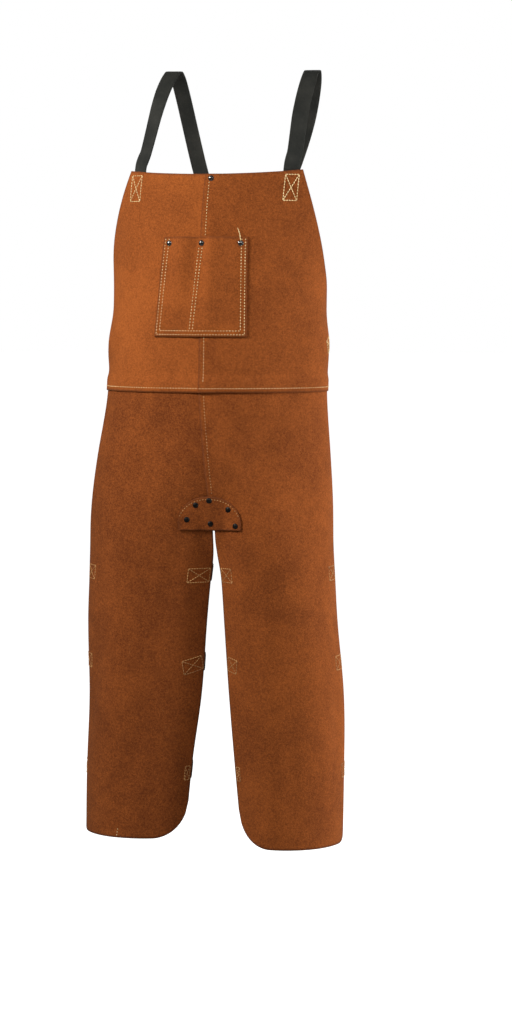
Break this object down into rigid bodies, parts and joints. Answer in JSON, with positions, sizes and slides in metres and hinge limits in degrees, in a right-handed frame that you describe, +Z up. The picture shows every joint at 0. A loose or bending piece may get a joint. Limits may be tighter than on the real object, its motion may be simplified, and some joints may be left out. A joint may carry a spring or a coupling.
{
  "type": "split-leg leather welding apron",
  "caption": "Bib apron of split cowhide with split legs, chest pocket, webbing shoulder and back straps, and leg straps with side-release buckles",
  "frame": {"origin": "midway between the tops of the two shoulder straps, where a wearer's shoulders or a hanger's arms carry the apron", "axes": "+Z up; the front of the apron faces -Y; -X is the wearer's right, which is the viewer's left; the apron keeps the shape it has on a standing wearer"},
  "size_m": [0.4191, 0.2556, 1.2262],
  "materials": {
    "leather": "split cowhide with a short suede nap, rust brown, worn and lightly stained",
    "webbing": "ribbed polypropylene webbing, charcoal, matte",
    "buckle": "black moulded acetal with a fine satin texture",
    "rivet": "black-nickel steel cap, burnished with wear on the crown"
  },
  "bodies": {
    "apron": {"bib_panel_right": "leather", "hip_panel_right": "leather", "shoulder_webbing_right": "webbing", "back_webbing_right": "webbing", "waist_tab_right": "webbing", "waist_socket_right": "buckle", "bib_panel_left": "leather", "hip_panel_left": "leather", "shoulder_webbing_left": "webbing", "back_webbing_left": "webbing", "waist_tab_left": "webbing", "waist_socket_left": "buckle", "chest_pocket": "leather", "crotch_patch": "leather", "yoke_outer": "leather", "yoke_inner": "leather", "seam_rivet": "rivet", "pocket_rivet_right": "rivet", "pocket_rivet_middle": "rivet", "pocket_rivet_left": "rivet", "patch_rivet_top": "rivet", "patch_rivet_top_right": "rivet", "patch_rivet_top_left": "rivet", "patch_rivet_low_right": "rivet", "patch_rivet_middle": "rivet", "patch_rivet_low_left": "rivet"},
    "right_leg": {"leg_panel_right": "leather", "thigh_webbing_right": "webbing", "thigh_tab_right": "webbing", "thigh_socket_right": "buckle", "knee_webbing_right": "webbing", "knee_tab_right": "webbing", "knee_socket_right": "buckle", "calf_webbing_right": "webbing", "calf_tab_right": "webbing", "calf_socket_right": "buckle"},
    "left_leg": {"leg_panel_left": "leather", "thigh_webbing_left": "webbing", "thigh_tab_left": "webbing", "thigh_socket_left": "buckle", "knee_webbing_left": "webbing", "knee_tab_left": "webbing", "knee_socket_left": "buckle", "calf_webbing_left": "webbing", "calf_tab_left": "webbing", "calf_socket_left": "buckle"},
    "waist_plug_right": {"waist_plug_right": "buckle"},
    "thigh_plug_right": {"thigh_plug_right": "buckle"},
    "knee_plug_right": {"knee_plug_right": "buckle"},
    "calf_plug_right": {"calf_plug_right": "buckle"},
    "waist_plug_left": {"waist_plug_left": "buckle"},
    "thigh_plug_left": {"thigh_plug_left": "buckle"},
    "knee_plug_left": {"knee_plug_left": "buckle"},
    "calf_plug_left": {"calf_plug_left": "buckle"}
  },
  "joints": [
    {"name": "right_leg_swing", "type": "hinge", "parent": "apron", "child": "right_leg", "pos_m": [0, -0.121, -0.727], "axis": [-1, 0, 0], "range_deg": [0, 75], "stiffness_Nm_per_rad": 2, "springref_deg": -20.05},
    {"name": "left_leg_swing", "type": "hinge", "parent": "apron", "child": "left_leg", "pos_m": [0, -0.121, -0.727], "axis": [-1, 0, 0], "range_deg": [0, 75], "stiffness_Nm_per_rad": 2, "springref_deg": -20.05},
    {"name": "waist_release_right", "type": "slide", "parent": "apron", "child": "waist_plug_right", "axis": [0.7851, 0.4909, 0.3778], "range_m": [0, 0.026], "deforming": ["back_webbing_right"]},
    {"name": "thigh_release_right", "type": "slide", "parent": "right_leg", "child": "thigh_plug_right", "axis": [0.6579, 0.7531, 0.0001], "range_m": [0, 0.026], "deforming": ["thigh_webbing_right"]},
    {"name": "knee_release_right", "type": "slide", "parent": "right_leg", "child": "knee_plug_right", "axis": [0.7719, 0.6357, 0.0001], "range_m": [0, 0.026], "deforming": ["knee_webbing_right"]},
    {"name": "calf_release_right", "type": "slide", "parent": "right_leg", "child": "calf_plug_right", "axis": [0.8921, 0.4518, 0], "range_m": [0, 0.026], "deforming": ["calf_webbing_right"]},
    {"name": "waist_release_left", "type": "slide", "parent": "apron", "child": "waist_plug_left", "axis": [-0.7052, 0.5884, 0.3956], "range_m": [0, 0.026], "deforming": ["back_webbing_left"]},
    {"name": "thigh_release_left", "type": "slide", "parent": "left_leg", "child": "thigh_plug_left", "axis": [-0.8092, 0.5875, -0.0001], "range_m": [0, 0.026], "deforming": ["thigh_webbing_left"]},
    {"name": "knee_release_left", "type": "slide", "parent": "left_leg", "child": "knee_plug_left", "axis": [-0.8622, 0.5065, 0], "range_m": [0, 0.026], "deforming": ["knee_webbing_left"]},
    {"name": "calf_release_left", "type": "slide", "parent": "left_leg", "child": "calf_plug_left", "axis": [-0.9373, 0.3486, 0], "range_m": [0, 0.026], "deforming": ["calf_webbing_left"]}
  ]
}
